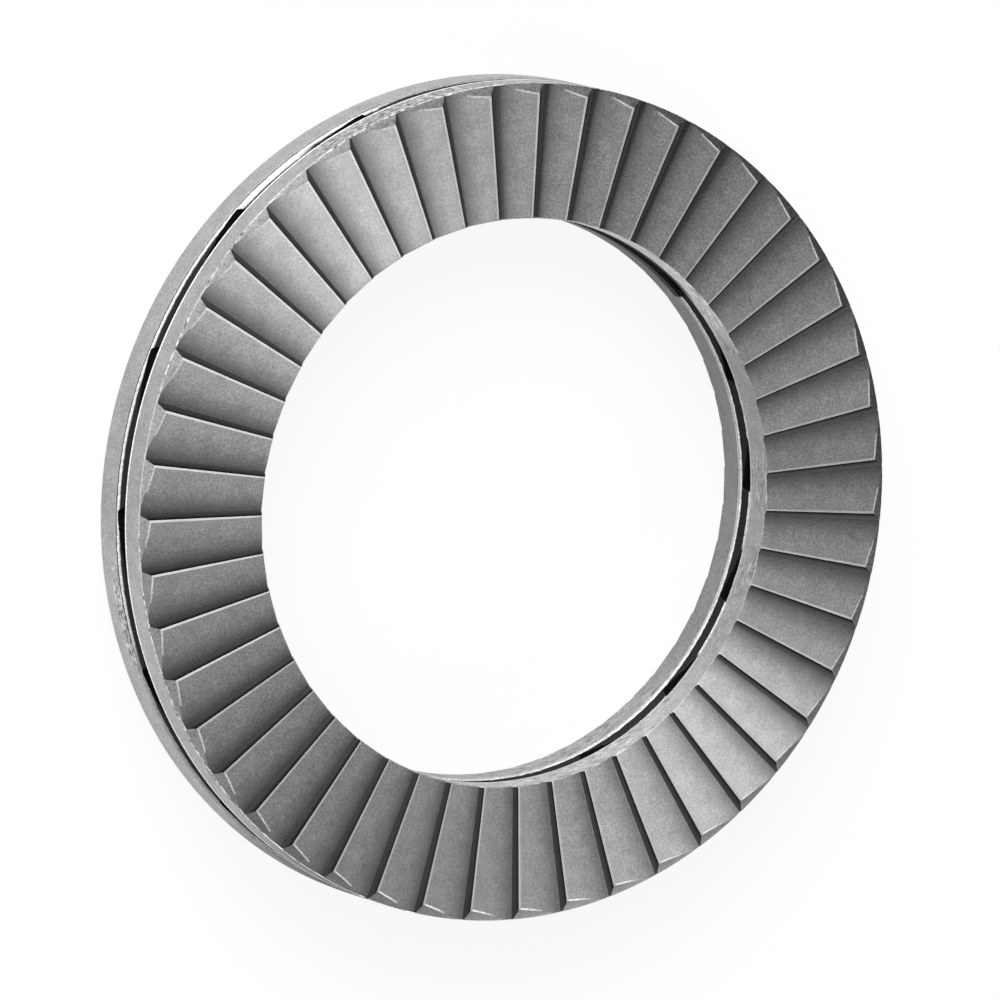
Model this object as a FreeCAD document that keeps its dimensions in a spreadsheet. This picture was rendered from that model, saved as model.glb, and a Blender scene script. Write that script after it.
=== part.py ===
"""Wedge lock washer pair for a 22 mm screw, in millimetres and degrees.

Two identical stainless steel washers lie cam face to cam face. Each has radial sawtooth serrations
on its outer face and a ring of broad wedge cams on its inner face. The cams of one washer seat in
the cams of the other, with a thin film of glue between them, and the open bevels at the rim and at
the bore leave a groove along the seam.

The pair lies flat with +Z up. The origin is on the axis, in the plane of the lowest tooth crests.
"""

import FreeCAD, Part
import Sketcher
import math
import os

OUTPUT_FOLDER = "parts"

# A cut that takes away less than this height, spread over the whole ring, took nothing, in mm.
LEAST_CUT = 1e-6

# Every size that can be set by itself, with its value and what it is.
DIMENSIONS = [
    ("outer_diameter", 34.5, "rim of both washers"),
    ("bore_diameter", 23.4, "clear hole for the screw"),
    ("pair_thickness", 3.7, "tooth crest to tooth crest, cams seated"),
    ("tooth_count", 47, "serrations on each outer face"),
    ("tooth_depth", 0.13, "crest to valley of a serration"),
    ("tooth_land", 0.2, "angle of the flat crest of a serration"),
    ("tooth_return", 0.85, "angle taken by the steep face of a serration"),
    ("tooth_phase", -0.93, "angle from the middle of a cam to a tooth crest"),
    ("cam_count", 16, "wedge cams on each inner face"),
    ("cam_rise", 0.6, "height of a cam"),
    ("cam_land", 0.9, "angle of the flat top and of the flat root of a cam"),
    ("cam_return", 1.3, "angle taken by the steep face of a cam"),
    ("glue_film", 0.02, "gap between the two cam faces"),
    ("seam_gap", 0.86, "height of the groove between the two rim walls"),
    ("seam_bevel_width", 0.4, "depth of the groove, at the rim and at the bore"),
    ("crest_bevel_width", 0.45, "radial width of the bevel that clips the crests at the rim"),
    ("crest_bevel_drop", 0.12, "how far that bevel falls at the rim"),
    ("bore_edge_break", 0.07, "small break on the crests at the bore"),
    ("pair_turn", -9.95, "angle of the middle of a cam from +X"),
    ("cutter_overrun", 1.0, "how far each cutter runs past the washer, radially"),
    ("cutter_lift", 0.05, "how far each cutter stands clear of the face that it cuts"),
]

# Sizes that follow from the ones above.
BORE_RADIUS = "(Sizes.bore_diameter / 2)"
RIM_RADIUS = "(Sizes.outer_diameter / 2)"
WASHER_HEIGHT = "((Sizes.pair_thickness + Sizes.cam_rise - Sizes.glue_film) / 2)"
WALL_HEIGHT = "((Sizes.pair_thickness - Sizes.seam_gap) / 2)"
TOOTH_PITCH = "(360 / Sizes.tooth_count)"
CAM_PITCH = "(360 / Sizes.cam_count)"
INNER_SECTION = f"({BORE_RADIUS} * cos({CAM_PITCH} / 2) - Sizes.cutter_overrun)"
OUTER_SECTION = f"({RIM_RADIUS} + Sizes.cutter_overrun)"


def make_sheet(doc):
    """Write the driving dimensions into the sheet, one row for each."""
    sheet = doc.addObject("Spreadsheet::Sheet", "Sizes")
    for row, (alias, value, meaning) in enumerate(DIMENSIONS, start=1):
        sheet.set(f"A{row}", alias)
        sheet.set(f"B{row}", str(value))
        sheet.set(f"C{row}", meaning)
        sheet.setAlias(f"B{row}", alias)
    doc.recompute()
    return sheet


def origin_feature(body, role):
    """Give the origin plane or axis of a body that has this role."""
    return next(item for item in body.Origin.OriginFeatures if item.Role == role)


def add_sketch(body, name, role, offset=None):
    """Add a sketch on one of the body's origin planes, moved out along its normal if asked."""
    sketch = body.newObject("Sketcher::SketchObject", name)
    sketch.AttachmentSupport = [(origin_feature(body, role), "")]
    sketch.MapMode = "FlatFace"
    if offset:
        sketch.setExpression("AttachmentOffset.Base.z", offset)
    return sketch


def draw_outline(sketch, corners):
    """Draw a closed outline of straight lines whose corners are bound to the sheet.

    corners holds a name and two expressions for each corner, its distances across and up.
    """
    places = [
        FreeCAD.Vector(sketch.evalExpression(across), sketch.evalExpression(up), 0)
        for _, across, up in corners
    ]
    count = len(corners)
    for index, start in enumerate(places):
        sketch.addGeometry(Part.LineSegment(start, places[(index + 1) % count]), False)
    for index in range(count):
        following = (index + 1) % count
        sketch.addConstraint(Sketcher.Constraint("Coincident", index, 2, following, 1))
    for index, (name, across, up) in enumerate(corners):
        sides = (("DistanceX", across, places[index].x), ("DistanceY", up, places[index].y))
        for kind, expression, value in sides:
            number = sketch.addConstraint(Sketcher.Constraint(kind, -1, 1, index, 1, value))
            label = f"{name}_{kind[-1].lower()}"
            sketch.renameConstraint(number, label)
            sketch.setExpression(f"Constraints.{label}", expression)


def add_blank(body):
    """Turn the plain ring of one washer, serrated side down and cam side up."""
    profile = add_sketch(body, body.Name + "_section", "XZ_Plane")
    draw_outline(profile, [
        ("bore_foot", f"{BORE_RADIUS} + Sizes.bore_edge_break", "0"),
        ("crest_end", f"{RIM_RADIUS} - Sizes.crest_bevel_width", "0"),
        ("rim_foot", RIM_RADIUS, "Sizes.crest_bevel_drop"),
        ("rim_seam", RIM_RADIUS, WALL_HEIGHT),
        ("cam_outside", f"{RIM_RADIUS} - Sizes.seam_bevel_width", WASHER_HEIGHT),
        ("cam_inside", f"{BORE_RADIUS} + Sizes.seam_bevel_width", WASHER_HEIGHT),
        ("bore_seam", BORE_RADIUS, WALL_HEIGHT),
        ("bore_break", BORE_RADIUS, "Sizes.bore_edge_break"),
    ])
    blank = body.newObject("PartDesign::Revolution", body.Name + "_blank")
    blank.Profile = profile
    blank.ReferenceAxis = (origin_feature(body, "Z_Axis"), [""])
    blank.Angle = 360
    return blank


def cut_round_the_face(body, name, corners, count):
    """Cut one radial notch with a loft from inside the bore to outside the rim, and repeat it.

    corners holds a name, an angle from +X and a height for each corner of the notch. A corner's
    distance from the middle grows with the radius, so that every edge of the notch is radial.
    """
    sections = []
    for place, distance in (("inner", INNER_SECTION), ("outer", OUTER_SECTION)):
        section = add_sketch(body, f"{body.Name}_{name}_{place}", "YZ_Plane", distance)
        draw_outline(section, [
            (label, f"{distance} * tan({angle})", height) for label, angle, height in corners
        ])
        sections.append(section)
    notch = body.newObject("PartDesign::SubtractiveLoft", f"{body.Name}_{name}_notch")
    notch.Profile = sections[0]
    notch.Sections = sections[1:]
    notch.Ruled = True
    ring = body.newObject("PartDesign::PolarPattern", f"{body.Name}_{name}_ring")
    ring.Originals = [notch]
    ring.Axis = (origin_feature(body, "Z_Axis"), [""])
    ring.Angle = 360
    ring.setExpression("Occurrences", count)
    body.Tip = ring
    return ring


def cut_teeth(body):
    """Cut the serrations: a steep face up from each crest, then a long flank down to the next."""
    crest = "(Sizes.tooth_phase + Sizes.tooth_land / 2)"
    valley = f"({crest} + Sizes.tooth_return)"
    next_crest = f"(Sizes.tooth_phase + {TOOTH_PITCH} - Sizes.tooth_land / 2)"
    past = "(Sizes.cutter_lift / Sizes.tooth_depth)"
    return cut_round_the_face(body, "tooth", [
        ("crest", f"{crest} - Sizes.tooth_return * {past}", "-Sizes.cutter_lift"),
        ("next_crest", f"{next_crest} + ({next_crest} - {valley}) * {past}", "-Sizes.cutter_lift"),
        ("valley", valley, "Sizes.tooth_depth"),
    ], "Sizes.tooth_count")


def cut_cams(body):
    """Cut the wedge cams: a ramp up, a narrow flat top, a steep face down and a flat root.

    The outline is the same upside down about the middle of the ramp, so that two equal washers
    seat in each other.
    """
    root_end = f"({CAM_PITCH} / 2 - Sizes.cam_return / 2)"
    ramp_end = f"({root_end} - Sizes.cam_land)"
    past = "(Sizes.cutter_lift / Sizes.cam_rise)"
    low = f"({WASHER_HEIGHT} - Sizes.cam_rise)"
    high = f"({WASHER_HEIGHT} + Sizes.cutter_lift)"
    return cut_round_the_face(body, "cam", [
        ("step_top", f"-({root_end} + Sizes.cam_return * (1 + {past}))", high),
        ("step_root", f"-{root_end}", low),
        ("ramp_root", f"-{ramp_end}", low),
        ("ramp_top", f"{ramp_end} * (1 + 2 * {past})", high),
    ], "Sizes.cam_count")


def make_washer(doc, name):
    """Make one washer of the pair, serrated side down on the origin plane."""
    body = doc.addObject("PartDesign::Body", name)
    body.Label = name
    add_blank(body)
    cut_teeth(body)
    doc.recompute()
    cut_cams(body)
    doc.recompute()
    return body


def place_pair(sheet, lower, upper):
    """Stand the lower washer on its serrations and lay the upper one on it, turned over."""
    about_axis = FreeCAD.Rotation(FreeCAD.Vector(0, 0, 1), sheet.pair_turn)
    turned_over = FreeCAD.Rotation(FreeCAD.Vector(1, 0, 0), 180)
    lower.Placement = FreeCAD.Placement(FreeCAD.Vector(0, 0, 0), about_axis)
    upper.Placement = FreeCAD.Placement(
        FreeCAD.Vector(0, 0, sheet.pair_thickness), about_axis * turned_over
    )


def check_document(doc, bodies):
    """Stop if any object failed, or if a washer isn't one sound solid."""
    for item in doc.Objects:
        if "Invalid" in item.State or "Error" in item.State:
            raise RuntimeError(f"{item.Label} failed: {item.State}")
    for body in bodies:
        shape = body.Shape
        if shape.isNull() or not shape.isValid() or len(shape.Solids) != 1:
            raise RuntimeError(f"{body.Label} isn't one valid solid")


def check_cuts(body):
    """Stop if the serrations or the cams took nothing away."""
    ring_area = math.pi / 4 * (body.Document.Sizes.outer_diameter ** 2
                               - body.Document.Sizes.bore_diameter ** 2)
    volumes = [item.Shape.Volume for item in body.Group if item.isDerivedFrom("PartDesign::Feature")]
    for before, after in zip(volumes, volumes[1:]):
        if before - after < ring_area * LEAST_CUT:
            raise RuntimeError(f"a cut on {body.Label} removed nothing")


def main():
    """Build both washers and write each to its own file."""
    doc = FreeCAD.newDocument("WedgeLockWasherPair")
    sheet = make_sheet(doc)
    lower = make_washer(doc, "lower_washer")
    upper = make_washer(doc, "upper_washer")
    place_pair(sheet, lower, upper)
    doc.recompute()
    check_document(doc, [lower, upper])
    check_cuts(lower)
    check_cuts(upper)
    os.makedirs(OUTPUT_FOLDER, exist_ok=True)
    for body in (lower, upper):
        body.Shape.exportStep(os.path.join(OUTPUT_FOLDER, body.Label + ".step"))
        box = body.Shape.optimalBoundingBox()
        print(f"{body.Label}: volume {body.Shape.Volume:.2f} mm3, Z {box.ZMin:.3f} to {box.ZMax:.3f}")


main()
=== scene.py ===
"""Looks of a wedge lock washer pair: two serrated stainless steel washers lying on a pale floor.

Both washers are the same part. One is modelled in millimetres, serrations down and cams up: one
repeat of its serrated side and one repeat of its cam side are drawn section by section, copied
round the axis and joined by the rim wall and the bore wall. Each washer of the pair is a copy of
that shape with its own wear and its own painted light and shade at the edges and the seam,
turned into its place in metres.
"""

import logging
import math
from collections.abc import Callable
from dataclasses import dataclass, field
from enum import Enum

import bmesh
import bpy
from mathutils import Matrix, Vector

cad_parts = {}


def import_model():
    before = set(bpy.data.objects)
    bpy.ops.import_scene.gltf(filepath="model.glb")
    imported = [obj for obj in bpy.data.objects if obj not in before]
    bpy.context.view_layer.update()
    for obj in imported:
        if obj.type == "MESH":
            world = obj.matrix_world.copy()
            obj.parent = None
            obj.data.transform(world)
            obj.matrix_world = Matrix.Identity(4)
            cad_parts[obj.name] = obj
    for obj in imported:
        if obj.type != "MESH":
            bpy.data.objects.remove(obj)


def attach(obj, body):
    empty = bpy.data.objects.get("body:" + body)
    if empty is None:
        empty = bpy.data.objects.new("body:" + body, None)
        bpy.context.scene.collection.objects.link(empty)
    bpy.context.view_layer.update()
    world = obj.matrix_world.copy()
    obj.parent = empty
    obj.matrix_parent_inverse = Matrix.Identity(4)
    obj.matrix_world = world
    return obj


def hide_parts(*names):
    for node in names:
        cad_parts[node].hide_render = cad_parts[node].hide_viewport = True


Section = list[tuple[float, float]]
Points = tuple[tuple[float, float], ...]
Stops = tuple[tuple[float, float], ...]

MM_PER_M = 1000.0
BODY = "root"

# Spin turns anticlockwise, seen from above, about this axis.
SPIN_AXIS = (0, 0, -1)

# Corners that move by the same amount, to this many digits of a millimetre, are moved together.
MOVE_DIGITS = 6

# Depth, in millimetres, over which the greys of the serrated face are read.
TOOTH_REACH = 0.2

# The same for the seam, from the crests to past the middle of the pair.
SEAM_REACH = 2.2

# Half the height over which one finish passes into another, in millimetres.
BLEND = 0.05

# Finer layers in each noise.
NOISE_LAYERS = 2.0

log = logging.getLogger("washer_pair")


class Side(Enum):
    """The two washers of the pair, by the CAD node that each stands for."""

    LOWER = "lower_washer"
    UPPER = "upper_washer"


class Patch(Enum):
    """The kinds of surface on a washer, in the order of its material slots."""

    FLANK = 0
    CREST = 1
    STEEP_FACE = 2
    RIM_BEVEL = 3
    RIM_WALL = 4
    BORE_WALL = 5
    FACE_EDGE = 6
    FACET_EDGE = 7
    SEAM_EDGE = 8
    SEAM_BEVEL = 9
    BORE_RECESS = 10
    CAM = 11
    BORE_EDGE = 12


class Signal:
    """One output of a shader tree. Arithmetic on it adds Math nodes to the tree."""

    def __init__(self, tree: "ShaderTree", socket: bpy.types.NodeSocket) -> None:
        """Wrap an output.

        Args:
            tree: The tree that takes the new nodes.
            socket: The output.
        """
        self.tree = tree
        self.socket = socket

    def math(self, operation: str, *operands: object) -> "Signal":
        """Add a Math node.

        Args:
            operation: What the node does.
            operands: Signals or numbers, in the order of its inputs.

        Returns:
            The result.
        """
        inputs = dict(enumerate(operands))
        return self.tree.node("ShaderNodeMath", {"operation": operation}, inputs)

    def __add__(self, other: object) -> "Signal":
        """Add a signal or a number."""
        return self.math("ADD", self, other)

    def __radd__(self, other: object) -> "Signal":
        """Add to a number."""
        return self.math("ADD", other, self)

    def __sub__(self, other: object) -> "Signal":
        """Subtract a signal or a number."""
        return self.math("SUBTRACT", self, other)

    def __rsub__(self, other: object) -> "Signal":
        """Subtract from a number."""
        return self.math("SUBTRACT", other, self)

    def __mul__(self, other: object) -> "Signal":
        """Multiply by a signal or a number."""
        return self.math("MULTIPLY", self, other)

    def __rmul__(self, other: object) -> "Signal":
        """Multiply a number."""
        return self.math("MULTIPLY", other, self)

    def __abs__(self) -> "Signal":
        """Drop the sign."""
        return self.math("ABSOLUTE", self)

    def between(self, low: float, high: float) -> "Signal":
        """Rise smoothly from 0 at one value to 1 at another.

        Args:
            low: Value that gives 0.
            high: Value that gives 1.

        Returns:
            The rise, from 0 to 1.
        """
        settings = {"interpolation_type": "SMOOTHSTEP"}
        ends = {"Value": self, "From Min": low, "From Max": high}
        return self.tree.node("ShaderNodeMapRange", settings, ends)

    def above(self, level: float) -> "Signal":
        """Give 0 below a level and 1 above it, blended across it."""
        return self.between(level - BLEND, level + BLEND)

    def ramp(self, stops: Stops, reach: float) -> "Signal":
        """Read a ramp of greys.

        Args:
            stops: Values and the grey at each, in order.
            reach: The value at the ramp's far end.

        Returns:
            The grey.
        """
        scaled = tuple((value / reach, grey) for value, grey in stops)
        return self.tree.node("ShaderNodeValToRGB", {"stops": scaled}, {"Fac": self * (1 / reach)})

    def towards(self, target: object, share: object) -> "Signal":
        """Blend into another value.

        Args:
            target: Signal or number at a share of 1.
            share: How much of the target, from 0 to 1.

        Returns:
            The blend.
        """
        return self + share * (target - self)


class ShaderTree:
    """The nodes of one material or of the world."""

    def __init__(self, owner: bpy.types.Material | bpy.types.World) -> None:
        """Start an empty tree.

        Args:
            owner: What the nodes belong to.
        """
        owner.use_nodes = True
        self.nodes = owner.node_tree.nodes
        self.links = owner.node_tree.links
        self.nodes.clear()

    def node(
        self, kind: str, settings: dict[str, object], inputs: dict[object, object], output: object = 0
    ) -> Signal | None:
        """Add a node, set it up and feed it.

        Args:
            kind: Blender's name for the node.
            settings: Its properties, set first; "stops" holds the stops of a ramp.
            inputs: Values or signals, by the name or number of the input.
            output: Name or number of the output that is given back.

        Returns:
            The output, or nothing where the node has none.
        """
        node = self.nodes.new(kind)
        for name, value in settings.items():
            if name == "stops":
                self.set_stops(node.color_ramp, value)
            else:
                setattr(node, name, value)
        for name, value in inputs.items():
            if isinstance(value, Signal):
                self.links.new(value.socket, node.inputs[name])
            else:
                node.inputs[name].default_value = value
        return Signal(self, node.outputs[output]) if node.outputs else None

    @staticmethod
    def set_stops(ramp: bpy.types.ColorRamp, stops: Stops) -> None:
        """Write the stops of a ramp.

        Args:
            ramp: The ramp.
            stops: Places from 0 to 1 and the grey at each, in order: two or more.
        """
        while len(ramp.elements) < len(stops):
            ramp.elements.new(1.0)
        for element, (place, grey) in zip(ramp.elements, stops):
            element.position = place
            element.color = (grey, grey, grey, 1.0)

    def point(self) -> Signal:
        """Give the place on the piece.

        Returns:
            The point, in millimetres.
        """
        place = self.node("ShaderNodeTexCoord", {}, {}, "Object")
        inputs = {"Vector": place, "Scale": MM_PER_M}
        return self.node("ShaderNodeVectorMath", {"operation": "SCALE"}, inputs)

    def noise(self, point: Signal, size: float) -> Signal:
        """Give noise about zero.

        Args:
            point: The point, in millimetres.
            size: Size of a grain, in millimetres.

        Returns:
            Noise from about -0.5 to 0.5.
        """
        inputs = {"Vector": point, "Scale": 1 / size, "Detail": NOISE_LAYERS}
        return self.node("ShaderNodeTexNoise", {}, inputs, "Fac") - 0.5


@dataclass(frozen=True)
class Zone:
    """The part of a washer that lies near one heading from the axis. Angles in degrees.

    It is complete up to one angle from the heading and has faded out at a wider one. It takes in
    the heights from low to high, in millimetres, and can have greys of its own: painted light or
    shade, lighter or darker by heading. A zone of painted shadow loses its sheen as well.
    """

    heading: float
    full: float
    fade: float
    low: float = -1.0
    high: float = 5.0
    greys: Stops = ()
    painted_shadow: bool = False

    def share(self, point: Signal) -> Signal:
        """Tell how far a point is inside the zone.

        Args:
            point: The point, in millimetres.

        Returns:
            0 outside, 1 well inside.
        """
        tree = point.tree
        kind = "ShaderNodeVectorMath"
        around = math.radians(self.heading)
        way = (math.cos(around), math.sin(around), 0.0)
        flat = tree.node(kind, {"operation": "MULTIPLY"}, {0: point, 1: (1.0, 1.0, 0.0)})
        outward = tree.node(kind, {"operation": "NORMALIZE"}, {0: flat})
        along = tree.node(kind, {"operation": "DOT_PRODUCT"}, {0: outward, 1: way}, "Value")
        near = along.between(math.cos(math.radians(self.fade)), math.cos(math.radians(self.full)))
        height = tree.node("ShaderNodeSeparateXYZ", {}, {0: point}, "Z")
        return near * height.above(self.low) * (1 - height.above(self.high))


@dataclass(frozen=True)
class SteelFinish:
    """How one kind of surface of the steel looks. Lengths in millimetres.

    The greys are read by depth, which is 0 in the plane of the nearer tooth crests and grows
    towards the middle of the pair. Where the greys darken with depth, that is painted shade in the
    valleys, in the seam and in the recess in the hole. The grain, the mottle and the flecks of torn
    metal are shares of the grey. The metal is torn where broad noise passes a level, and in the
    torn zones. The grey of the washer underneath is multiplied by a factor of its own.
    """

    name: str
    greys: Stops
    depth_reach: float = TOOTH_REACH
    grain: float = 1.1
    grain_size: float = 0.09
    mottle: float = 0.35
    mottle_size: float = 0.7
    metallic: float = 1.0
    specular: float = 0.5
    roughness: float = 0.6
    roughness_spread: float = 0.3
    pit_depth: float = 0.006
    brushing: float = 0.0
    brushing_turn: float = 0.25
    fleck: float = 0.0
    fleck_size: float = 0.13
    fleck_stretch: float = 1.0
    fleck_floor: float = 0.03
    torn_level: float = 0.25
    torn_fade: float = 0.03
    torn_size: float = 2.5
    zones: tuple[Zone, ...] = ()
    torn_zones: tuple[Zone, ...] = ()
    underneath: float = 1.0

    def flecked(self, point: Signal) -> Signal:
        """Give the factor on the grey where the metal is torn.

        Args:
            point: The point, in millimetres.

        Returns:
            1 on sound metal, light and dark flecks about it on torn metal.
        """
        tree = point.tree
        patches = tree.noise(point, self.torn_size)
        torn = patches.between(self.torn_level - self.torn_fade, self.torn_level + self.torn_fade)
        for zone in self.torn_zones:
            torn = torn.math("MAXIMUM", torn, zone.share(point))
        stretch = {0: point, 1: (self.fleck_stretch, self.fleck_stretch, 1.0)}
        streaks = tree.node("ShaderNodeVectorMath", {"operation": "MULTIPLY"}, stretch)
        factor = 1 + torn * self.fleck * tree.noise(streaks, self.fleck_size)
        return factor.math("MAXIMUM", factor, self.fleck_floor)

    def make(self, middle: float) -> bpy.types.Material:
        """Make the material.

        Args:
            middle: Height of the middle of the pair.

        Returns:
            The material.
        """
        material = bpy.data.materials.new(self.name)
        tree = ShaderTree(material)
        point = tree.point()
        height = tree.node("ShaderNodeSeparateXYZ", {}, {0: point}, "Z")
        depth = middle - abs(height - middle)
        fine = tree.noise(point, self.grain_size)
        broad = tree.noise(point, self.mottle_size)
        grey = depth.ramp(self.greys, self.depth_reach)
        metallic = self.metallic
        for zone in self.zones:
            share = zone.share(point)
            grey = grey.towards(depth.ramp(zone.greys, self.depth_reach), share)
            # A zone of painted shadow is made fully metallic, so that its near black grey has no
            # sheen.
            if zone.painted_shadow:
                metallic = metallic + share * (1 - metallic)
        if self.underneath != 1.0:
            grey = grey * (self.underneath + (1 - self.underneath) * height.above(middle))
        grey = grey * (1 + self.grain * fine) * (1 + self.mottle * broad)
        if self.fleck:
            grey = grey * self.flecked(point)
        bump = {"Strength": 1.0, "Distance": self.pit_depth / MM_PER_M, "Height": fine}
        inputs = {
            "Base Color": grey,
            "Metallic": metallic,
            "Specular IOR Level": self.specular,
            "Roughness": self.roughness + self.roughness_spread * fine,
            "Normal": tree.node("ShaderNodeBump", {}, bump, "Normal"),
        }
        if self.brushing:
            inputs["Anisotropic"] = self.brushing
            inputs["Anisotropic Rotation"] = self.brushing_turn
        steel = tree.node("ShaderNodeBsdfPrincipled", {}, inputs)
        tree.node("ShaderNodeOutputMaterial", {}, {"Surface": steel})
        return material


def even(grey: float) -> Stops:
    """Give the stops of a ramp that has one grey all along."""
    return ((0.0, grey), (TOOTH_REACH, grey))


# Painted shadow on both sides of the seam in the hole, first on the washer underneath.
BORE_SEAM_SHADOWS = (
    Zone(heading=60.5, full=15.4, fade=16.0, low=0.95, high=1.85, greys=even(0.006), painted_shadow=True),
    Zone(heading=66.0, full=16.0, fade=24.0, low=1.85, high=2.6, greys=even(0.006), painted_shadow=True),
)

# The upper part of a flank, by depth: lighter by the crest, with painted shade deepening towards
# the valley.
FLANK_TOP = ((0.02, 0.53), (0.045, 0.48), (0.07, 0.4), (0.09, 0.32))

# Painted light on the bevel along the seam: dark at its foot and a near white painted highlight
# above.
LIT_SEAM_BEVEL = ((1.455, 0.05), (1.475, 0.75))
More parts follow.
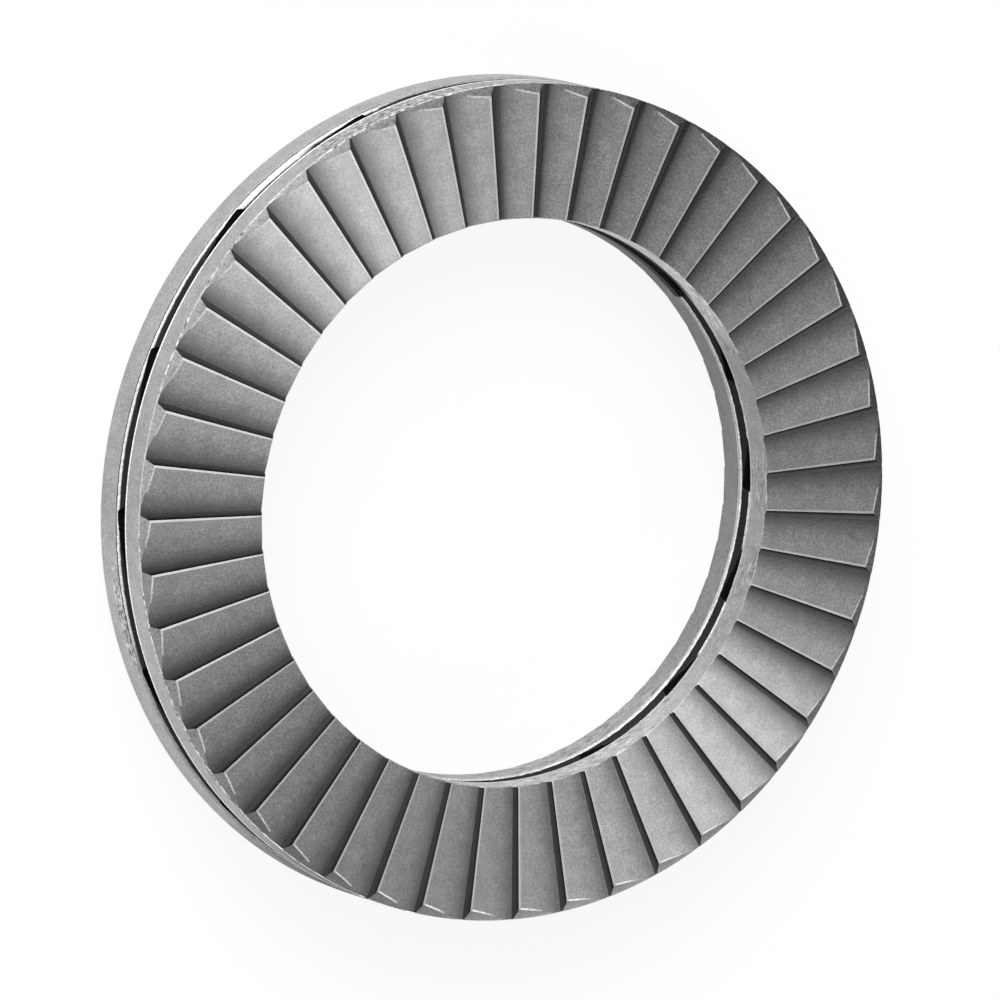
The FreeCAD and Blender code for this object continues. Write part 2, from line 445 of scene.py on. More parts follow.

# The finish of each kind of surface. Its zones are lighter or darker by heading: painted light and
# shade.
FINISHES = {
    # Flank greys fall off from the crest towards the valley as painted shade; the zones paint light
    # and shade by heading.
    Patch.FLANK: SteelFinish(
        name="coined_flank",
        greys=(*FLANK_TOP, (0.11, 0.245), (0.125, 0.19), (0.14, 0.135)),
        zones=(
            Zone(
                heading=286.0,
                full=10.0,
                fade=50.0,
                greys=((0.02, 0.56), (0.045, 0.53), (0.07, 0.48), (0.1, 0.38), (0.14, 0.24)),
            ),
            Zone(
                heading=78.0,
                full=12.0,
                fade=26.0,
                greys=(*FLANK_TOP, (0.106, 0.22), (0.116, 0.09), (0.14, 0.06)),
            ),
            Zone(
                heading=352.0,
                full=12.0,
                fade=26.0,
                greys=((0.02, 0.42), (0.045, 0.38), (0.07, 0.31), (0.1, 0.22), (0.14, 0.11)),
            ),
        ),
        grain=0.9,
        brushing=0.8,
        roughness=0.75,
    ),
    # The crest is lighter: partly edge wear and partly a painted highlight, which its zones make
    # brighter or duller by heading.
    Patch.CREST: SteelFinish(
        name="worn_crest_and_highlight",
        greys=((0.0, 0.52), (0.03, 0.5), (0.07, 0.45), (0.11, 0.32), (0.14, 0.2)),
        zones=(
            Zone(
                heading=142.0,
                full=20.0,
                fade=40.0,
                greys=((0.0, 0.75), (0.03, 0.68), (0.07, 0.5), (0.11, 0.32), (0.14, 0.2)),
            ),
            Zone(
                heading=35.0,
                full=35.0,
                fade=50.0,
                greys=((0.0, 0.4), (0.03, 0.38), (0.07, 0.33), (0.11, 0.28), (0.14, 0.2)),
            ),
            Zone(
                heading=190.0,
                full=14.0,
                fade=26.0,
                greys=((0.0, 0.7), (0.03, 0.66), (0.07, 0.5), (0.11, 0.32), (0.14, 0.2)),
            ),
            Zone(
                heading=238.0,
                full=18.0,
                fade=34.0,
                greys=((0.0, 0.42), (0.03, 0.4), (0.07, 0.36), (0.11, 0.3), (0.14, 0.2)),
            ),
        ),
        grain=0.4,
        metallic=0.4,
    ),
    # The steep faces are painted near black as shadow, darkest by the crest; the zones paint that
    # shadow softer or deeper by heading.
    Patch.STEEP_FACE: SteelFinish(
        name="steep_face",
        greys=((0.0, 0.02), (0.03, 0.04), (0.07, 0.06), (0.13, 0.065)),
        zones=(
            Zone(
                heading=112.0,
                full=42.0,
                fade=56.0,
                greys=((0.0, 0.02), (0.02, 0.05), (0.06, 0.08), (0.13, 0.1)),
            ),
            Zone(
                heading=0.0,
                full=42.0,
                fade=62.0,
                greys=((0.0, 0.004), (0.015, 0.008), (0.03, 0.03), (0.07, 0.1), (0.13, 0.15)),
            ),
            Zone(
                heading=206.0,
                full=30.0,
                fade=44.0,
                greys=((0.0, 0.004), (0.015, 0.008), (0.03, 0.02), (0.07, 0.055), (0.13, 0.085)),
            ),
            Zone(
                heading=302.0,
                full=14.0,
                fade=24.0,
                greys=((0.0, 0.006), (0.015, 0.015), (0.035, 0.04), (0.07, 0.07), (0.13, 0.09)),
            ),
        ),
        grain=0.6,
        roughness=0.8,
    ),
    # The bevel facets at the rim are painted lighter or darker by heading, as lit and shaded sides.
    Patch.RIM_BEVEL: SteelFinish(
        name="rim_bevel",
        greys=even(0.39),
        zones=(
            Zone(heading=300.0, full=25.0, fade=60.0, greys=even(0.24)),
            Zone(heading=150.0, full=18.0, fade=42.0, greys=even(0.54)),
            Zone(heading=35.0, full=25.0, fade=50.0, greys=even(0.2)),
            Zone(heading=243.0, full=12.0, fade=26.0, greys=even(0.2)),
        ),
        roughness=0.45,
    ),
    # The rim wall's zones paint it lighter around 212 degrees and paint shadow around 266 degrees;
    # the torn zones are wear.
    Patch.RIM_WALL: SteelFinish(
        name="rim_wall",
        greys=even(0.34),
        grain=1.3,
        mottle=0.45,
        metallic=0.5,
        fleck=4.0,
        fleck_stretch=0.5,
        torn_zones=(
            Zone(heading=109.0, full=12.0, fade=19.0, low=2.3),
            Zone(heading=197.0, full=5.0, fade=9.0, low=0.9, high=1.45),
            Zone(heading=219.0, full=10.0, fade=16.0, low=3.35),
        ),
        zones=(
            Zone(heading=212.0, full=14.0, fade=32.0, greys=even(0.43)),
            Zone(heading=266.0, full=10.0, fade=40.0, greys=even(0.12)),
        ),
    ),
    # The bore wall's zones paint it lighter or darker by heading and paint shadow by the seam; the
    # washer underneath is painted darker. The torn zone is wear.
    Patch.BORE_WALL: SteelFinish(
        name="bore_wall",
        greys=even(0.31),
        zones=(
            Zone(heading=292.0, full=12.0, fade=42.0, greys=even(0.42)),
            Zone(heading=62.0, full=8.0, fade=18.0, high=1.6, greys=even(0.2)),
            Zone(heading=60.0, full=16.0, fade=30.0, low=2.0, greys=even(0.58)),
            *BORE_SEAM_SHADOWS,
        ),
        underneath=0.72,
        grain=1.3,
        mottle=0.45,
        metallic=0.5,
        fleck=2.0,
        fleck_size=0.14,
        fleck_stretch=0.35,
        torn_level=0.05,
        torn_zones=(Zone(heading=290.0, full=10.0, fade=28.0),),
    ),
    # The edge of the face is lighter than the wall: partly a burr and partly a painted highlight,
    # brightest around 246 degrees.
    Patch.FACE_EDGE: SteelFinish(
        name="burr_and_highlight_at_face",
        greys=even(0.52),
        zones=(Zone(heading=246.0, full=12.0, fade=20.0, greys=even(0.85)),),
        metallic=0.4,
        roughness=0.5,
        fleck=6.0,
        fleck_size=0.16,
        fleck_stretch=0.7,
        torn_level=0.025,
        torn_zones=(
            Zone(heading=109.0, full=12.0, fade=20.0),
            Zone(heading=222.0, full=12.0, fade=20.0),
        ),
    ),
    # The line where the facets meet the flanks is lighter: partly wear and partly a painted
    # highlight, brightest around 290 degrees.
    Patch.FACET_EDGE: SteelFinish(
        name="worn_facet_edge_and_highlight",
        greys=((0.0, 0.62), (0.03, 0.58), (0.05, 0.48), (0.075, 0.4), (0.2, 0.3)),
        zones=(
            Zone(
                heading=290.0,
                full=25.0,
                fade=50.0,
                greys=((0.0, 0.95), (0.03, 0.9), (0.05, 0.65), (0.075, 0.4), (0.2, 0.3)),
            ),
        ),
        metallic=0.4,
        roughness=0.5,
    ),
    # The edge of the rim wall at the seam is near white: partly wear and partly a painted highlight.
    Patch.SEAM_EDGE: SteelFinish(
        name="worn_seam_edge_and_highlight",
        greys=even(0.9),
        grain=1.5,
        metallic=0.4,
        roughness=0.5,
    ),
    # The edge of the bore wall at the seam is lighter: partly wear and partly a painted highlight,
    # with painted shadow by the seam.
    Patch.BORE_EDGE: SteelFinish(
        name="worn_bore_edge_and_highlight",
        greys=even(0.45),
        zones=BORE_SEAM_SHADOWS,
        grain=1.5,
        metallic=0.4,
        roughness=0.5,
    ),
    # The bevel along the seam at the rim: painted shade deep in the seam, and a painted highlight on
    # its lit part in the zones.
    Patch.SEAM_BEVEL: SteelFinish(
        name="torn_seam_bevel_lit_and_shaded",
        greys=((1.5, 0.34), (1.54, 0.1), (1.57, 0.01), (2.2, 0.005)),
        zones=(
            Zone(
                heading=156.0,
                full=41.0,
                fade=48.0,
                greys=(*LIT_SEAM_BEVEL, (1.55, 0.7), (1.58, 0.2), (1.61, 0.01), (2.2, 0.005)),
            ),
            Zone(heading=125.0, full=12.6, fade=13.4, high=1.6, greys=LIT_SEAM_BEVEL),
            Zone(heading=131.0, full=3.0, fade=8.4, high=1.7, greys=LIT_SEAM_BEVEL),
        ),
        depth_reach=SEAM_REACH,
        grain=1.6,
        metallic=0.6,
        pit_depth=0.02,
    ),
    # The recess in the hole: painted shade between two painted highlights along its edges.
    Patch.BORE_RECESS: SteelFinish(
        name="bore_recess",
        greys=((1.46, 0.8), (1.49, 0.01), (1.78, 0.01), (1.8, 0.75)),
        zones=BORE_SEAM_SHADOWS,
        depth_reach=SEAM_REACH,
        grain=1.6,
        metallic=0.6,
        pit_depth=0.02,
    ),
    # The cam faces, inside the seam, are painted near black as shadow and have almost no sheen.
    Patch.CAM: SteelFinish(
        name="cam_face",
        greys=even(0.004),
        metallic=0.0,
        specular=0.05,
        roughness=0.8,
    ),
}


class Loft:
    """A skin drawn section by section about the Z axis, in edit mode."""

    def __init__(
        self, name: str, angle: float, section: Section, materials: list[bpy.types.Material]
    ) -> None:
        """Draw the first section.

        Args:
            name: Name of the new piece.
            angle: Where the section stands, in degrees from +X.
            section: Its points, as distance from the axis and height.
            materials: The materials, in the order of the patches.
        """
        bpy.ops.object.select_all(action="DESELECT")
        bpy.ops.mesh.primitive_plane_add(size=1.0)
        self.shape = bpy.context.object
        self.shape.name = name
        for material in materials:
            self.shape.data.materials.append(material)
        self.angle = angle
        self.section = section
        bpy.ops.object.mode_set(mode="EDIT")
        bpy.ops.mesh.select_all(action="SELECT")
        bpy.ops.mesh.merge(type="CENTER")
        bpy.ops.transform.translate(value=self.offset(*section[0]))
        for start, end in zip(section, section[1:]):
            run = self.offset(end[0] - start[0], end[1] - start[1])
            bpy.ops.mesh.extrude_region_move(TRANSFORM_OT_translate={"value": run})
        bpy.ops.mesh.select_all(action="SELECT")

    def offset(self, out: float, up: float) -> tuple[float, float, float]:
        """Turn a step out and up at the present angle into a vector."""
        around = math.radians(self.angle)
        return (out * math.cos(around), out * math.sin(around), up)

    def nearest_row(self, point: Vector) -> int:
        """Find which point of the last section a corner stands on.

        Args:
            point: The corner.

        Returns:
            Its number in the section.
        """
        out = math.hypot(point.x, point.y)
        gaps = [math.hypot(out - r, point.z - z) for r, z in self.section]
        return gaps.index(min(gaps))

    def follow(self, turn: float, section: Section) -> None:
        """Turn the last section on by one step and give it a new outline.

        Args:
            turn: The step, in degrees.
            section: The new outline, with as many points as the last one.
        """
        bpy.ops.mesh.spin(steps=1, angle=math.radians(turn), axis=SPIN_AXIS, center=(0, 0, 0))
        self.angle += turn
        mesh = bmesh.from_edit_mesh(self.shape.data)
        column = [corner for corner in mesh.verts if corner.select]
        moves: dict[tuple[float, float], list[bmesh.types.BMVert]] = {}
        for corner in column:
            row = self.nearest_row(corner.co)
            out = section[row][0] - self.section[row][0]
            up = section[row][1] - self.section[row][1]
            move = (round(out, MOVE_DIGITS), round(up, MOVE_DIGITS))
            moves.setdefault(move, []).append(corner)
            corner.select = False
        for (out, up), corners in moves.items():
            if not (out or up):
                continue
            for corner in corners:
                corner.select = True
            bpy.ops.transform.translate(value=self.offset(out, up))
            for corner in corners:
                corner.select = False
        for corner in column:
            corner.select = True
        mesh.select_flush(True)
        self.section = section

    def repeat(self, count: int, weld: float) -> bpy.types.Object:
        """Copy the repeat round the axis and weld the copies together.

        Args:
            count: Number of repeats in the full circle.
            weld: Corners nearer than this are merged.

        Returns:
            The full ring.
        """
        bpy.ops.mesh.select_all(action="SELECT")
        bpy.ops.mesh.spin(
            steps=count - 1,
            dupli=True,
            angle=math.tau * (count - 1) / count,
            axis=SPIN_AXIS,
            center=(0, 0, 0),
        )
        bpy.ops.mesh.select_all(action="SELECT")
        bpy.ops.mesh.remove_doubles(threshold=weld)
        bpy.ops.object.mode_set(mode="OBJECT")
        return self.shape


@dataclass
class Washer:
    """One washer in its own frame: crests in the plane of Z 0, cams up.

    Lengths are in millimetres and angles in degrees. The rim and the bore are given by their radii.
    A row is a circle of corners round the axis.
    """

    rim: float = 17.25
    bore: float = 11.7
    wall_height: float = 1.42
    weld: float = 0.002
    sharp_angle: float = 30.0

    # The serrations. The steep columns are angles past a crest, and shares of the tooth depth.
    tooth_count: int = 47
    tooth_depth: float = 0.13
    tooth_phase: float = -0.93
    tooth_return: float = 0.95
    tooth_land_start: float = 7.5596
    steep_columns: Points = (
        (0.0, 0.0),
        (0.10, 0.02),
        (0.20, 0.15),
        (0.35, 0.31),
        (0.55, 0.54),
        (0.75, 0.77),
        (0.90, 0.93),
        (1.02, 0.985),
    )
    flank_steps: int = 23
    flank_end: float = 7.3
    flank_crown: float = 0.05
    crest_edge: float = 7.42
    crest_edge_height: float = 0.004

    # The bevel at the rim and the line where it meets the flanks.
    crest_bevel_width: float = 0.45
    crest_bevel_drop: float = 0.12
    least_bevel_width: float = 0.07
    edge_line: float = 0.075
    edge_line_slack: float = 0.02
    edge_line_depth: float = 0.055
    edge_line_rise: float = 0.001

    # The worn edges of the face. A worn point is a distance in from the wall, and a rise.
    bore_break: float = 0.07
    bore_worn_points: Points = ((0.010, 0.010), (0.040, 0.001))
    bore_worn_rows: tuple[float, ...] = (0.065, 0.02)
    rim_worn_point: tuple[float, float] = (0.012, 0.006)
    rim_worn_rows: tuple[float, ...] = (0.03, 0.09)
    bore_edge_height: float = 0.06
    rim_edge_height: float = 0.1
    edge_width: float = 0.03

    # Rows of the serrated side: on the walls by height, on the face by distance from the bore.
    bore_rows: tuple[float, ...] = (0.70, 0.50, 0.38)
    face_rows: tuple[float, ...] = (0.095, 0.5, 1.6, 2.8, 4.0)
    rim_rows: tuple[float, ...] = (0.36, 0.50, 0.70)

    # The cams. The steps are for the flat root, the ramp, the flat top and the steep face.
    cam_count: int = 16
    cam_root: float = 1.54
    cam_top: float = 2.14
    cam_return: float = 1.3
    cam_land: float = 0.9
    cam_steps: tuple[int, int, int, int] = (4, 81, 4, 5)

    # The bevels along the seam and their worn edges, the same at the rim and at the bore. A face
    # whose normal leans outwards or inwards by less than bevel_lean is part of a cam.
    seam_bevel: float = 0.4
    seam_rows: tuple[float, ...] = (0.16, 0.4, 0.65, 0.9)
    seam_worn_height: float = 0.01
    seam_worn_point: tuple[float, float] = (0.006, 0.004)
    seam_worn_rows: tuple[float, ...] = (0.13, 0.03)
    cam_edge: float = 0.03
    bevel_lean: float = 0.5

    # Rows of the cam side: on the walls by height, on the face by distance from a wall.
    wall_rows: tuple[float, ...] = (0.95, 1.15)
    cam_rows_from_rim: tuple[float, ...] = (1.2, 2.6)
    cam_row_from_bore: float = 1.2

    # How near the middle of a face lies to a wall that it is part of.
    on_wall: float = 0.003

    @property
    def tooth_pitch(self) -> float:
        """Angle from one serration to the next, in degrees."""
        return 360.0 / self.tooth_count

    @property
    def cam_pitch(self) -> float:
        """Angle from one cam to the next, in degrees."""
        return 360.0 / self.cam_count

    def tooth_columns(self) -> Section:
        """Give the angles across one serration and the height of the face at each.

        Returns:
            Angles from the middle of a crest, and heights.
        """
        columns = [(angle, share * self.tooth_depth) for angle, share in self.steep_columns]
        first = columns[-1][0]
        for step in range(1, self.flank_steps + 1):
            angle = first + (self.flank_end - first) * step / self.flank_steps
            fall = (self.tooth_land_start - angle) / (self.tooth_land_start - self.tooth_return)
            round_off = self.flank_crown * fall * (1 - fall)
            columns.append((angle, self.tooth_depth * fall - round_off))
        columns.append((self.crest_edge, self.crest_edge_height))
        columns.append((self.tooth_pitch, 0.0))
        return columns

    def face_height(self, angle: float) -> float:
        """Give the height of the serrated face.

        Args:
            angle: Angle from the middle of a crest.

        Returns:
            The height there.
        """
        columns = self.tooth_columns()
        for (start, low), (end, high) in zip(columns, columns[1:]):
            if angle <= end:
                return low + (high - low) * (angle - start) / (end - start)
        return 0.0

    def tooth_section(self, face: float) -> Section:
        """Give the section through the serrated side, from the bore wall to the rim wall.

        Args:
            face: Height of the serrated face there.

        Returns:
            Distances from the axis, and heights.
        """
        slope = self.crest_bevel_drop / self.crest_bevel_width
        bevel_start = self.rim - self.crest_bevel_width
        line = min(bevel_start + face / slope, self.rim - self.least_bevel_width)
        line_start = line - self.edge_line / 2
        line_end = line_start + self.edge_line

        def bevelled(out: float) -> float:
            """Height of the rim bevel or of the face, whichever is higher."""
            return max(face, (out - bevel_start) * slope)

        bore_foot = max(face, self.bore_break)
        rim_foot = max(face, self.crest_bevel_drop)
        worn_bore = [
            (self.bore + inward, max(face, self.bore_break - inward) + rise)
            for inward, rise in self.bore_worn_points
        ]
        inward, rise = self.rim_worn_point
        return [
            *((self.bore, height) for height in self.bore_rows),
            *((self.bore, bore_foot + height) for height in self.bore_worn_rows),
            *worn_bore,
            *((self.bore + out, face) for out in self.face_rows),
            (line_start, face),
            (line_end, bevelled(line_end) + self.edge_line_rise),
            (self.rim - inward, bevelled(self.rim - inward) + rise),
            *((self.rim, rim_foot + height) for height in self.rim_worn_rows),
            *((self.rim, height) for height in self.rim_rows),
        ]

    def cam_columns(self) -> Section:
        """Give the angles across one cam and the height of the cam face at each.

        Returns:
            Angles from the start of the flat root, and heights.
        """
        ramp = self.cam_pitch - self.cam_return - 2 * self.cam_land
        runs = (
            (self.cam_land, self.cam_root),
            (ramp, self.cam_top),
            (self.cam_land, self.cam_top),
            (self.cam_return, self.cam_root),
        )
        columns = [(0.0, self.cam_root)]
        for (width, end), steps in zip(runs, self.cam_steps):
            start_angle, start = columns[-1]
            for step in range(1, steps + 1):
                share = step / steps
                columns.append((start_angle + width * share, start + (end - start) * share))
        return columns

    def cam_section(self, face: float) -> Section:
        """Give the section through the cam side, from the rim wall to the bore wall.

        Args:
            face: Height of the cam face there.

        Returns:
            Distances from the axis, and heights.
        """
        slope = self.seam_bevel / (self.cam_top - self.wall_height)

        def bevel(height: float) -> float:
            """How far the bevel has come in at a height."""
            return (height - self.wall_height) * slope

        rise = face - self.wall_height
        heights = [self.wall_height + rise * share for share in self.seam_rows]
        wall = [*self.wall_rows, *(self.wall_height - drop for drop in self.seam_worn_rows)]
        worn = self.wall_height + self.seam_worn_height
        inward = bevel(worn) + self.seam_worn_point[0]
        worn_height = worn - self.seam_worn_point[1]
        return [
            *((self.rim, height) for height in wall),
            (self.rim - inward, worn_height),
            *((self.rim - bevel(height), height) for height in heights),
            (self.rim - bevel(face) - self.cam_edge, face),
            *((self.rim - distance, face) for distance in self.cam_rows_from_rim),
            (self.bore + self.cam_row_from_bore, face),
            (self.bore + bevel(face) + self.cam_edge, face),
            *((self.bore + bevel(height), height) for height in reversed(heights)),
            (self.bore + inward, worn_height),
            *((self.bore, height) for height in reversed(wall)),
        ]

    def model(self, materials: list[bpy.types.Material]) -> bpy.types.Object:
        """Model the washer.

        Args:
            materials: The materials, in the order of the patches.

        Returns:
            The closed shape, in millimetres.
        """
        first_section = self.tooth_section(0.0)
        serrated = Loft("serrated_side", self.tooth_phase, first_section, materials)
        self.draw(serrated, self.tooth_columns(), self.tooth_section)
        self.sort_serrated_faces(serrated.shape)
        serrated_ring = serrated.repeat(self.tooth_count, self.weld)
        cam_start = -(self.cam_pitch - self.cam_return) / 2
        cams = Loft("cam_side", cam_start, self.cam_section(self.cam_root), materials)
        self.draw(cams, self.cam_columns(), self.cam_section)
        self.sort_cam_faces(cams.shape)
        cam_ring = cams.repeat(self.cam_count, self.weld)
        return self.join_sides(serrated_ring, cam_ring)

    @staticmethod
    def draw(side: Loft, columns: Section, outline: Callable[[float], Section]) -> None:
        """Draw one repeat of one side.

        Args:
            side: The side, with its first section drawn.
            columns: Angles from that section, and face heights.
            outline: Function that gives the section for a face height.
        """
        for (before, _), (angle, face) in zip(columns, columns[1:]):
            side.follow(angle - before, outline(face))

    def sort_serrated_faces(self, shape: bpy.types.Object) -> None:
        """Give each face of one serration its kind of surface, by its place.

        Args:
            shape: The repeat, in edit mode.
        """
        mesh = bmesh.from_edit_mesh(shape.data)
        slope = self.crest_bevel_drop / self.crest_bevel_width
        bevel_start = self.rim - self.crest_bevel_width
        crest_end = self.steep_columns[1][0]
        steep_end = self.steep_columns[-1][0]
        for face in mesh.faces:
            middle = face.calc_center_median()
            out = middle.xy.length
            around = math.degrees(math.atan2(middle.y, middle.x)) - self.tooth_phase
            foot = self.face_height(around)
            past_line = out - bevel_start - foot / slope
            rim_wall_start = max(foot, self.crest_bevel_drop) + self.rim_edge_height
            bore_wall_start = max(foot, self.bore_break) + self.bore_edge_height
            if out > self.rim - self.on_wall and middle.z > rim_wall_start:
                patch = Patch.RIM_WALL
            elif out < self.bore + self.on_wall and middle.z > bore_wall_start:
                patch = Patch.BORE_WALL
            elif out > self.rim - self.edge_width:
                patch = Patch.FACE_EDGE
            elif out < self.bore + self.edge_width:
                patch = Patch.BORE_WALL
            elif past_line > self.edge_line / 2:
                patch = Patch.RIM_BEVEL
            elif not crest_end < around < self.crest_edge:
                patch = Patch.CREST
            elif around < steep_end:
                patch = Patch.STEEP_FACE
            elif past_line > -self.edge_line_slack and foot < self.edge_line_depth:
                patch = Patch.FACET_EDGE
            else:
                patch = Patch.FLANK
            face.material_index = patch.value

    def sort_cam_faces(self, shape: bpy.types.Object) -> None:
        """Give each face of one cam its kind of surface, by its place and normal.

        Args:
            shape: The repeat, in edit mode.
        """
        mesh = bmesh.from_edit_mesh(shape.data)
        for face in mesh.faces:
            middle = face.calc_center_median()
            out = middle.xy.length
            at_rim = out > (self.rim + self.bore) / 2
            if middle.z < self.wall_height - self.seam_worn_rows[0]:
                patch = Patch.RIM_WALL if at_rim else Patch.BORE_WALL
            elif middle.z < self.wall_height:
                patch = Patch.SEAM_EDGE if at_rim else Patch.BORE_EDGE
            elif abs(face.normal.xy.dot(middle.xy.normalized())) < self.bevel_lean:
                patch = Patch.CAM
            elif at_rim:
                patch = Patch.SEAM_BEVEL
            else:
                patch = Patch.BORE_RECESS
            face.material_index = patch.value

    def join_sides(self, serrated: bpy.types.Object, cams: bpy.types.Object) -> bpy.types.Object:
        """Join the two sides by the walls at the rim and at the bore.

        Args:
            serrated: The serrated ring.
            cams: The cam ring.

        Returns:
            The closed washer.
        """
        bpy.ops.object.select_all(action="DESELECT")
        cams.select_set(True)
        serrated.select_set(True)
        bpy.context.view_layer.objects.active = serrated
        bpy.ops.object.join()
        bpy.ops.object.mode_set(mode="EDIT")
        bpy.ops.mesh.select_mode(type="EDGE")
        middle = (self.rim + self.bore) / 2
        walls = ((middle, math.inf, Patch.RIM_WALL), (0.0, middle, Patch.BORE_WALL))
        for low, high, patch in walls:
            bpy.ops.mesh.select_all(action="DESELECT")
            mesh = bmesh.from_edit_mesh(serrated.data)
            for edge in mesh.edges:
                if edge.is_boundary and low < edge.verts[0].co.xy.length < high:
                    edge.select = True
            bpy.ops.mesh.bridge_edge_loops()
            mesh = bmesh.from_edit_mesh(serrated.data)
            for face in mesh.faces:
                if face.select:
                    face.material_index = patch.value
        bpy.ops.mesh.select_mode(type="VERT")
        bpy.ops.mesh.select_all(action="SELECT")
        bpy.ops.mesh.normals_make_consistent(inside=False)
        bpy.ops.object.mode_set(mode="OBJECT")
        return serrated


@dataclass
class Wear:
    """One kind of roughness of an edge, pressed into the metal. Lengths in millimetres.

    It takes in the heights from low to high, up to its reach in from a wall.
    """

    name: str
    depth: float
    grain: float
    low: float
    high: float
    rim_only: bool = False
    reach: float = 0.3
    layers: int = 2

    def press(self, shape: bpy.types.Object, washer: Washer, salt: float) -> None:
        """Press the roughness into a washer near both walls, or near the rim wall only.

        Args:
            shape: The washer.
            washer: Its sizes.
            salt: Factor on the grain, so that no two washers are alike.
        """
        sound_from = 0.0 if self.rim_only else washer.bore + self.reach
        sound_to = washer.rim - self.reach
        group = shape.vertex_groups.new(name=self.name)
        chosen = [
            corner.index
            for corner in shape.data.vertices
            if self.low < corner.co.z < self.high
            and not sound_from < corner.co.xy.length < sound_to
        ]
        group.add(chosen, 1.0, "REPLACE")
        texture = bpy.data.textures.new(self.name, "CLOUDS")
        texture.noise_scale = self.grain * salt
        texture.noise_depth = self.layers
        displace = shape.modifiers.new(self.name, "DISPLACE")
        displace.texture = texture
        displace.texture_coords = "LOCAL"
        displace.vertex_group = self.name
        displace.mid_level = 1.0
        displace.strength = self.depth
        bpy.context.view_layer.objects.active = shape
        bpy.ops.object.modifier_apply(modifier=displace.name)
        shape.vertex_groups.remove(shape.vertex_groups[self.name])


@dataclass
class WasherPair:
    """Both washers, cam face to cam face."""

    washer: Washer = field(default_factory=Washer)
    thickness: float = 3.7
    turn: float = -9.95
    wears: tuple[Wear, ...] = (
        Wear(name="torn_bevel", depth=0.05, grain=0.25, low=1.4, high=2.05),
        Wear(name="rim_burr", depth=0.01, grain=0.12, low=0.1, high=0.3, rim_only=True),
    )

    def build(self) -> list[bpy.types.Object]:
        """Build both washers.

        Returns:
            The pieces.
        """
        materials = [FINISHES[patch].make(self.thickness / 2) for patch in Patch]
        first = self.washer.model(materials)
        second = first.copy()
        second.data = first.data.copy()
        bpy.context.scene.collection.objects.link(second)
        salts = {Side.LOWER: 1.0, Side.UPPER: 1.13}
        pieces = []
        for side, piece in zip(Side, (first, second)):
            piece.name = f"{side.value}_steel"
            piece.data.name = piece.name
            bpy.ops.object.select_all(action="DESELECT")
            piece.select_set(True)
            for wear in self.wears:
                wear.press(piece, self.washer, salts[side])
            self.finish_side(piece, side)
            self.place(piece, side)
            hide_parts(side.value)
            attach(piece, BODY)
            pieces.append(piece)
            log.info("%s: %d faces", piece.name, len(piece.data.polygons))
        return pieces

    @staticmethod
    def finish_side(piece: bpy.types.Object, side: Side) -> None:
        """Give the faces their finish on this side of the pair.

        The washer underneath has plain edges at the rim, without the lighter edge lines, part wear
        and part painted highlight, of the one on top. The one on top has the bevel at the rim's side
        of the seam painted near black as shadow, because that faces down.

        Args:
            piece: The washer.
            side: Which washer of the pair it is.
        """
        changes = {
            Side.LOWER: {Patch.FACE_EDGE: Patch.RIM_WALL, Patch.SEAM_EDGE: Patch.RIM_WALL},
            Side.UPPER: {Patch.SEAM_BEVEL: Patch.CAM},
        }
        numbers = {before.value: after.value for before, after in changes[side].items()}
        for face in piece.data.polygons:
            face.material_index = numbers.get(face.material_index, face.material_index)

    def place(self, piece: bpy.types.Object, side: Side) -> None:
        """Turn a washer into its place in the pair, in metres.

        Args:
            piece: The washer in its own frame, in millimetres.
            side: Which washer of the pair it is.
        """
        place = Matrix.Rotation(math.radians(self.turn), 4, "Z")
        if side is Side.UPPER:
            lift = Matrix.Translation((0, 0, self.thickness))
            place = lift @ place @ Matrix.Rotation(math.pi, 4, "X")
        piece.matrix_world = Matrix.Scale(1 / MM_PER_M, 4) @ place
        bpy.ops.object.select_all(action="DESELECT")
        piece.select_set(True)
        bpy.context.view_layer.objects.active = piece
        bpy.ops.object.transform_apply(location=True, rotation=True, scale=True)
        bpy.ops.object.shade_smooth_by_angle(angle=math.radians(self.washer.sharp_angle))


@dataclass(frozen=True)
class Lamp:
    """A soft disc lamp that faces the pair. Lengths in metres, power in watts."""

    name: str
    direction: tuple[float, float, float]
    distance: float
    size: float
    power: float

    def hang(self) -> None:
        """Hang the lamp."""
        direction = Vector(self.direction).normalized()
        lamp = bpy.data.lights.new(self.name, "AREA")
        lamp.shape = "DISK"
        lamp.size = self.size
        lamp.energy = self.power
        holder = bpy.data.objects.new(self.name, lamp)
        holder.location = direction * self.distance
        holder.rotation_euler = direction.to_track_quat("Z", "Y").to_euler()
        bpy.context.scene.collection.objects.link(holder)


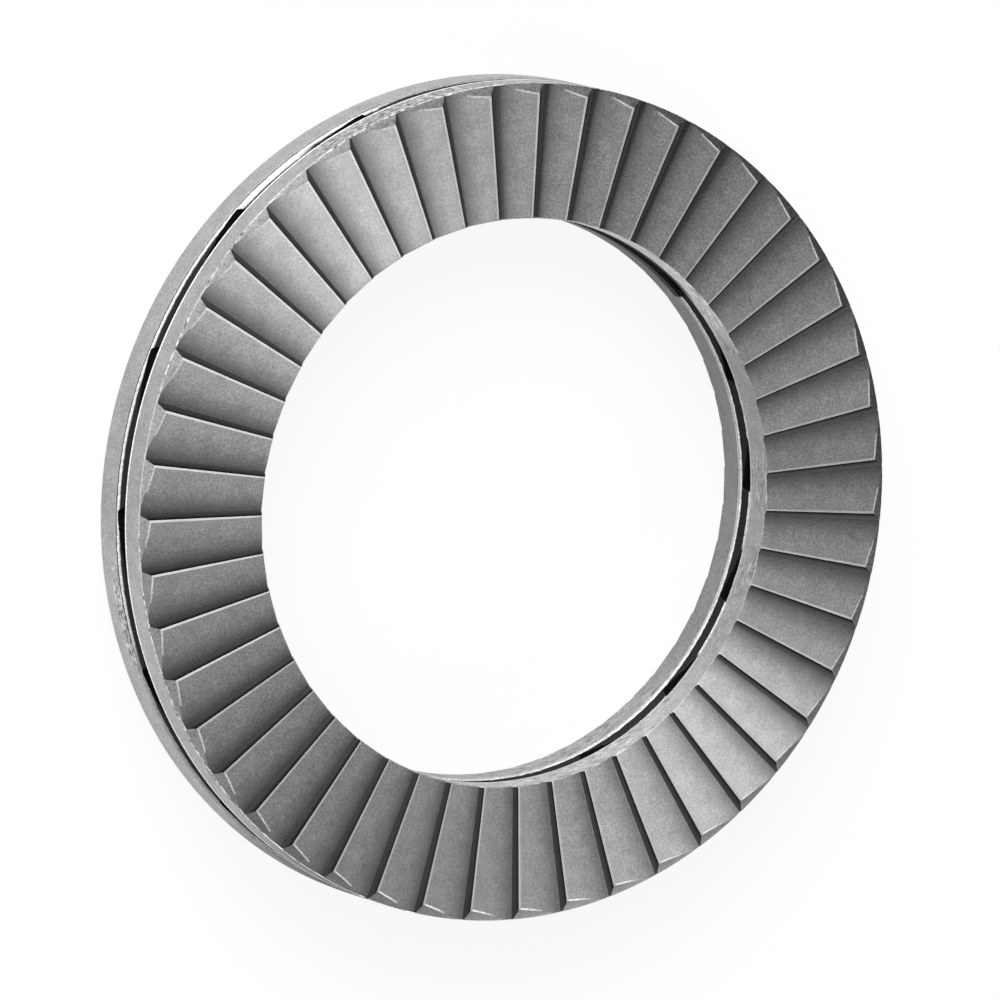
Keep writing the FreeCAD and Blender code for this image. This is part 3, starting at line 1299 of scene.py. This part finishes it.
@dataclass
class Studio:
    """The floor, the light and the camera. Lengths in metres, angles in degrees.

    The camera looks at its aim from a heading round the axis and an angle above the floor. Its lens
    and sensor are in millimetres.
    """

    floor_size: float = 8.0
    floor_grey: float = 0.92
    floor_white_share: float = 0.88
    lamps: tuple[Lamp, ...] = (
        Lamp("key", (-0.3088, 0.7804, 0.5436), distance=0.9, size=0.75, power=8.6),
        Lamp("fill", (0.6064, -0.6735, 0.4226), distance=0.9, size=0.5, power=2.4),
    )
    sky_greys: Stops = (
        (0.0, 1.0),
        (0.2, 0.9),
        (0.35, 0.7),
        (0.5, 0.58),
        (0.65, 0.4),
        (0.8, 0.13),
        (1.0, 0.05),
    )
    ground_grey: float = 0.9
    horizon: tuple[float, float] = (-0.02, 0.06)
    aim: tuple[float, float, float] = (0.000204, -0.000096, 0.00185)
    camera_heading: float = 166.738
    camera_rise: float = 60.4794
    camera_distance: float = 0.608477
    lens: float = 535.329
    sensor: float = 36.0

    def build(self) -> None:
        """Set up the floor, the light and the camera."""
        self.lay_floor()
        self.set_sky()
        for lamp in self.lamps:
            lamp.hang()
        self.set_camera()
        bpy.context.scene.view_settings.view_transform = "Standard"

    def lay_floor(self) -> None:
        """Lay the floor under the pair."""
        bpy.ops.object.select_all(action="DESELECT")
        bpy.ops.mesh.primitive_plane_add(size=self.floor_size)
        floor = bpy.context.object
        floor.name = "floor"
        material = bpy.data.materials.new("pale_floor")
        tree = ShaderTree(material)
        grey = (self.floor_grey, self.floor_grey, self.floor_grey, 1.0)
        matt = tree.node("ShaderNodeBsdfDiffuse", {}, {"Color": grey})
        white = tree.node("ShaderNodeEmission", {}, {"Strength": 1.0})
        seen = tree.node("ShaderNodeLightPath", {}, {}, "Is Camera Ray")
        mirrored = Signal(tree, seen.socket.node.outputs["Is Glossy Ray"])
        through = Signal(tree, seen.socket.node.outputs["Is Transmission Ray"])
        share = (seen + mirrored + through) * self.floor_white_share
        surface = tree.node("ShaderNodeMixShader", {}, {0: share, 1: matt, 2: white})
        tree.node("ShaderNodeOutputMaterial", {}, {"Surface": surface})
        floor.data.materials.append(material)

    def set_sky(self) -> None:
        """Fill the room with soft light that is brightest on the left and pale low down."""
        world = bpy.data.worlds.new("studio")
        bpy.context.scene.world = world
        tree = ShaderTree(world)
        direction = tree.node("ShaderNodeTexCoord", {}, {}, "Generated")
        across = tree.node("ShaderNodeSeparateXYZ", {}, {0: direction}, "X")
        height = Signal(tree, across.socket.node.outputs["Z"])
        grey = (across * 0.5 + 0.5).ramp(self.sky_greys, 1.0)
        grey = grey.towards(self.ground_grey, 1 - height.between(*self.horizon))
        sky = tree.node("ShaderNodeBackground", {}, {"Color": grey, "Strength": 1.0})
        tree.node("ShaderNodeOutputWorld", {}, {"Surface": sky})

    def set_camera(self) -> None:
        """Set the camera at the photo's angle, with the washers' X axis level in the picture."""
        heading = math.radians(self.camera_heading)
        rise = math.radians(self.camera_rise)
        away = math.cos(rise)
        back = Vector((away * math.cos(heading), away * math.sin(heading), math.sin(rise)))
        up = back.cross(Vector((1.0, 0.0, 0.0))).normalized()
        axes = Matrix((up.cross(back), up, back)).transposed()
        place = Vector(self.aim) + self.camera_distance * back
        camera = bpy.data.cameras.new("camera")
        camera.lens = self.lens
        camera.sensor_width = self.sensor
        holder = bpy.data.objects.new("camera", camera)
        holder.matrix_world = Matrix.Translation(place) @ axes.to_4x4()
        bpy.context.scene.collection.objects.link(holder)
        bpy.context.scene.camera = holder


def main() -> None:
    """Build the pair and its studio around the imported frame."""
    logging.basicConfig(level=logging.INFO, format="%(name)s: %(message)s")
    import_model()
    bpy.ops.object.select_all(action="DESELECT")
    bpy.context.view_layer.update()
    Studio().build()
    pieces = WasherPair().build()
    log.info("%d pieces", len(pieces))


if __name__ == "__main__":
    main()
